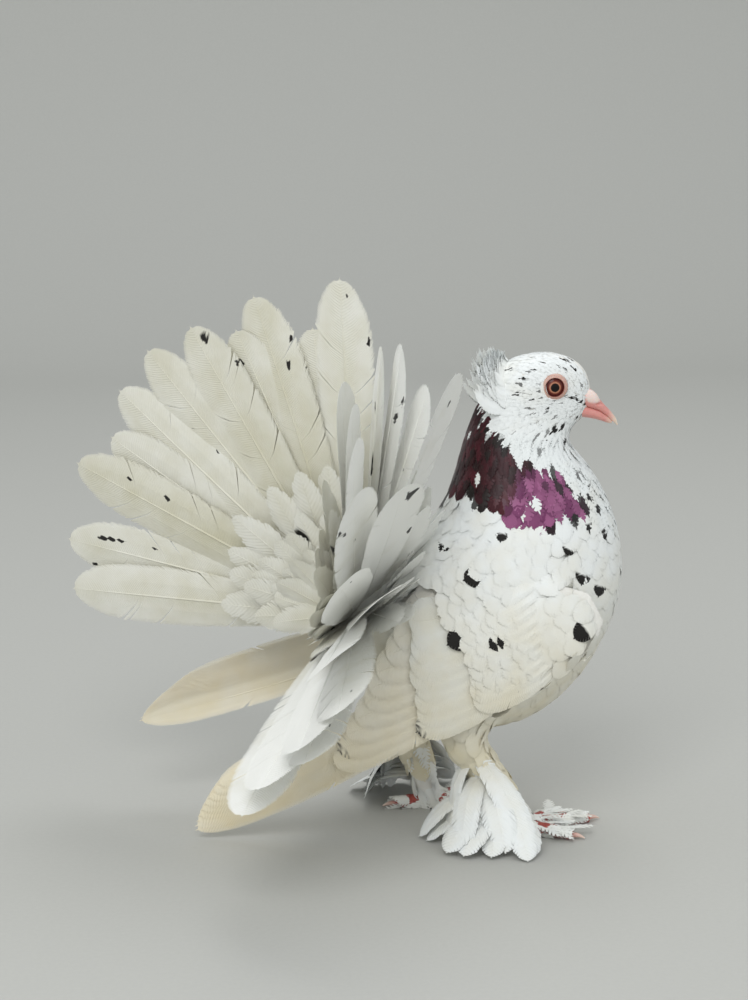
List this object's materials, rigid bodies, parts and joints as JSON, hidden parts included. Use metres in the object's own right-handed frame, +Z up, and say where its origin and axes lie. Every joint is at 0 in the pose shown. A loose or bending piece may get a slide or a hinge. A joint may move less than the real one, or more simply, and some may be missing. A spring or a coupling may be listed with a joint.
{
  "type": "fantail pigeon",
  "caption": "Standing crested pigeon with its tail fan raised, folded wings and feathered feet, as a still life-size model.",
  "frame": {"origin": "middle of the bird's bounding box in plan, on the floor it stands on", "axes": "+X the way the bird faces, +Y the bird's left, +Z up"},
  "size_m": [0.2872, 0.235, 0.2871],
  "materials": {
    "white_plumage": "soft white feathers with a few dark tips",
    "plum_plumage": "dark maroon neck feathers with a purple sheen",
    "bill": "pale pink horn",
    "foot": "red scaly skin under white feathers",
    "claw": "pale horn",
    "eye": "wet, dark pupil in a red-brown and cream iris"
  },
  "bodies": {
    "root": {"torso": "white_plumage", "neck": "plum_plumage", "head": "white_plumage", "bill_upper": "bill", "bill_lower": "bill", "eye_right": "eye", "eye_left": "eye", "tail": "white_plumage", "wing_right": "white_plumage", "wing_left": "white_plumage", "leg_right": "white_plumage", "leg_left": "white_plumage", "foot_right": "foot", "foot_left": "foot", "claw_right_1": "claw", "claw_right_2": "claw", "claw_right_3": "claw", "claw_right_4": "claw", "claw_left_1": "claw", "claw_left_2": "claw", "claw_left_3": "claw", "claw_left_4": "claw"}
  },
  "joints": []
}
